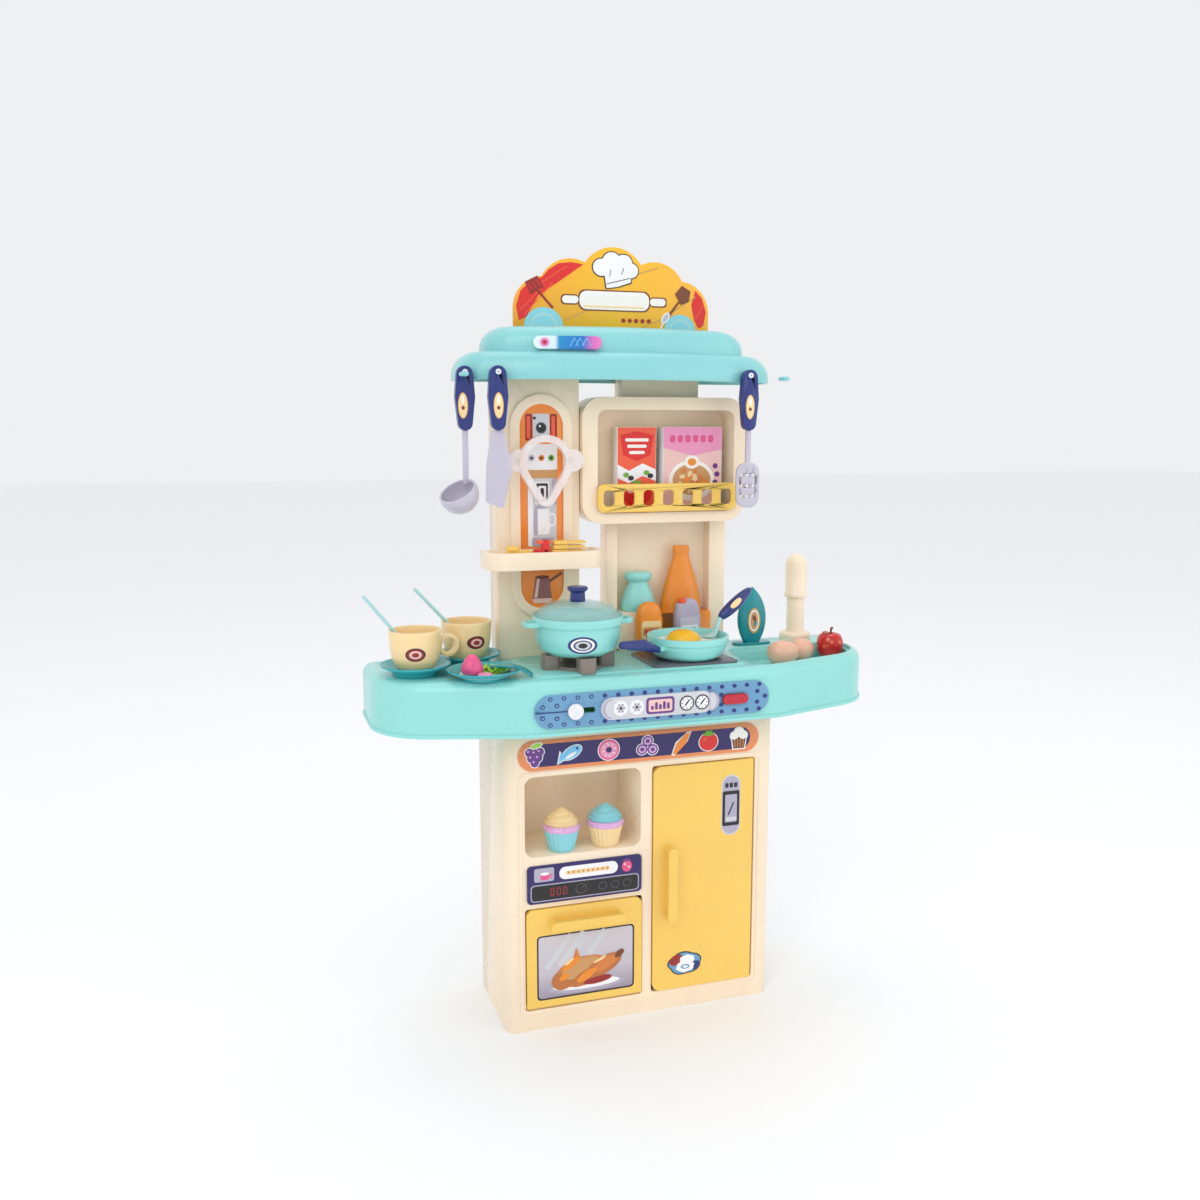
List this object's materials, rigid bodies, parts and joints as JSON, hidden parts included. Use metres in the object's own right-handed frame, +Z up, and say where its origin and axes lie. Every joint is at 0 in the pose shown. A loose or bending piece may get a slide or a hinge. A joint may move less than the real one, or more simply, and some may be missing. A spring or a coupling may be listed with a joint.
{
  "type": "toy kitchen",
  "caption": "Child's toy kitchen with a fridge, an oven, a hob, a sink, a canopy with a sign, hanging utensils and loose toy crockery and food.",
  "frame": {"origin": "centre of the cabinet's footprint on the floor", "axes": "+Z up, the doors face -Y, +X to the right seen from the front"},
  "size_m": [0.4964, 0.151, 0.727],
  "materials": {
    "ivory": "moulded",
    "food_print": "moulded",
    "oven_print": "moulded",
    "teal": "moulded",
    "panel_blue": "moulded",
    "capsule_silver": "moulded",
    "dark_grey": "moulded",
    "coffee_print": "moulded",
    "clear_pink": "moulded",
    "yellow": "moulded",
    "light_print": "moulded",
    "sign_print": "moulded",
    "board_green": "moulded",
    "steel": "moulded",
    "window_print": "moulded",
    "utensil_grey": "moulded",
    "navy": "moulded",
    "clear_teal": "moulded",
    "egg": "moulded",
    "dark_teal": "moulded",
    "cream": "moulded",
    "stick_teal": "moulded",
    "salad": "moulded",
    "orange": "moulded",
    "peach": "moulded",
    "icing": "moulded",
    "carton": "moulded",
    "white": "moulded",
    "red": "moulded"
  },
  "bodies": {
    "kitchen": {"cabinet_shell": "ivory", "cabinet_front": "ivory", "cabinet_back": "ivory", "inner_frame": "ivory", "food_strip": "food_print", "oven_panel": "oven_print", "countertop": "teal", "control_panel": "panel_blue", "control_capsule": "capsule_silver", "hob_plate": "dark_grey", "pot_stand": "dark_grey", "faucet_post": "ivory", "tower_front": "ivory", "tower_back": "ivory", "coffee_inset": "coffee_print", "filter_ring": "clear_pink", "tower_shelf": "ivory", "column": "ivory", "box_shelf": "ivory", "basket_rail": "yellow", "canopy": "teal", "light_bar": "light_print", "sign_board": "sign_print", "circuit_board": "board_green", "speaker": "dark_grey", "batteries": "steel", "battery_cover": "teal", "back_screws": "steel"},
    "fridge_door_body": {"fridge_door": "yellow"},
    "oven_door_body": {"oven_door": "yellow", "oven_window": "window_print"},
    "faucet_head_body": {"faucet_head": "ivory"},
    "ladle_body": {"ladle": "utensil_grey", "ladle_handle": "navy"},
    "knife_body": {"cake_knife": "utensil_grey", "knife_handle": "navy"},
    "skimmer_body": {"skimmer": "utensil_grey", "skimmer_handle": "navy"},
    "pot_body": {"pot": "teal"},
    "lid_body": {"pot_lid": "clear_teal", "lid_knob": "navy"},
    "pan_body": {"pan": "teal", "pan_handle": "navy"},
    "egg_body": {"fried_egg": "egg"},
    "turner_body": {"turner": "navy"},
    "saucers_body": {"saucers": "dark_teal"},
    "cups_body": {"cups": "cream", "stir_sticks": "stick_teal"},
    "plate_body": {"plate": "dark_teal", "toy_salad": "salad"},
    "jar_body": {"jar": "teal"},
    "orange_bottle_body": {"orange_bottle": "orange"},
    "sauce_bottles_body": {"sauce_bottles": "orange"},
    "soap_body": {"soap_bottle": "dark_teal"},
    "sink_food_body": {"sink_food": "peach"},
    "cupcakes_body": {"cupcakes": "icing"},
    "food_boxes_body": {"food_boxes": "carton"},
    "slider_body": {"panel_slider": "white"},
    "button_body": {"panel_button": "red"},
    "cutlery_body": {"shelf_cutlery": "yellow"}
  },
  "joints": [
    {"name": "fridge_hinge", "type": "hinge", "parent": "kitchen", "child": "fridge_door_body", "pos_m": [0.1098, -0.052, 0.13], "axis": [0, 0, 1], "range_deg": [0, 95]},
    {"name": "oven_hinge", "type": "hinge", "parent": "kitchen", "child": "oven_door_body", "pos_m": [-0.058, -0.052, 0.0245], "axis": [1, 0, 0], "range_deg": [0, 90]},
    {"name": "faucet_swivel", "type": "hinge", "parent": "kitchen", "child": "faucet_head_body", "pos_m": [0.196, 0.026, 0.4], "axis": [0, 0, 1], "range_deg": [-90, 90]},
    {"name": "ladle_swing", "type": "hinge", "parent": "kitchen", "child": "ladle_body", "pos_m": [-0.153, -0.0015, 0.607], "axis": [0, 1, 0], "range_deg": [-2, 35]},
    {"name": "knife_swing", "type": "hinge", "parent": "kitchen", "child": "knife_body", "pos_m": [-0.126, -0.0155, 0.607], "axis": [0, 1, 0], "range_deg": [-35, 2]},
    {"name": "skimmer_swing", "type": "hinge", "parent": "kitchen", "child": "skimmer_body", "pos_m": [0.118, -0.0175, 0.607], "axis": [0, 1, 0], "range_deg": [-30, 30]},
    {"name": "pot_lift", "type": "slide", "parent": "kitchen", "child": "pot_body", "axis": [0, 0, 1], "range_m": [0, 0.008]},
    {"name": "lid_lift", "type": "slide", "parent": "pot_body", "child": "lid_body", "axis": [0, 0, 1], "range_m": [0, 0.01]},
    {"name": "pan_lift", "type": "slide", "parent": "kitchen", "child": "pan_body", "axis": [0, 0, 1], "range_m": [0, 0.04]},
    {"name": "egg_lift", "type": "slide", "parent": "pan_body", "child": "egg_body", "axis": [0, 0, 1], "range_m": [0, 0.03]},
    {"name": "turner_lift", "type": "slide", "parent": "egg_body", "child": "turner_body", "axis": [0, 0, 1], "range_m": [0, 0.03]},
    {"name": "saucers_lift", "type": "slide", "parent": "kitchen", "child": "saucers_body", "axis": [0, 0, 1], "range_m": [0, 0.015]},
    {"name": "cups_lift", "type": "slide", "parent": "saucers_body", "child": "cups_body", "axis": [0, 0, 1], "range_m": [0, 0.03]},
    {"name": "plate_lift", "type": "slide", "parent": "kitchen", "child": "plate_body", "axis": [0, 0, 1], "range_m": [0, 0.04]},
    {"name": "jar_lift", "type": "slide", "parent": "kitchen", "child": "jar_body", "axis": [0, 0, 1], "range_m": [0, 0.04]},
    {"name": "orange_bottle_lift", "type": "slide", "parent": "kitchen", "child": "orange_bottle_body", "axis": [0, 0, 1], "range_m": [0, 0.018]},
    {"name": "sauce_bottles_lift", "type": "slide", "parent": "kitchen", "child": "sauce_bottles_body", "axis": [0, 0, 1], "range_m": [0, 0.03]},
    {"name": "soap_lift", "type": "slide", "parent": "kitchen", "child": "soap_body", "axis": [0, 0, 1], "range_m": [0, 0.03]},
    {"name": "sink_food_lift", "type": "slide", "parent": "kitchen", "child": "sink_food_body", "axis": [0, 0, 1], "range_m": [0, 0.05]},
    {"name": "cupcakes_out", "type": "slide", "parent": "kitchen", "child": "cupcakes_body", "axis": [0, -1, 0], "range_m": [0, 0.05]},
    {"name": "food_boxes_lift", "type": "slide", "parent": "kitchen", "child": "food_boxes_body", "axis": [0, 0, 1], "range_m": [0, 0.012]},
    {"name": "slider_slide", "type": "slide", "parent": "kitchen", "child": "slider_body", "axis": [1, 0, 0], "range_m": [0, 0.016]},
    {"name": "button_press", "type": "slide", "parent": "kitchen", "child": "button_body", "axis": [0, 1, 0], "range_m": [0, 0.0018], "stiffness_N_per_m": 300},
    {"name": "cutlery_lift", "type": "slide", "parent": "kitchen", "child": "cutlery_body", "axis": [0, 0, 1], "range_m": [0, 0.02]}
  ]
}
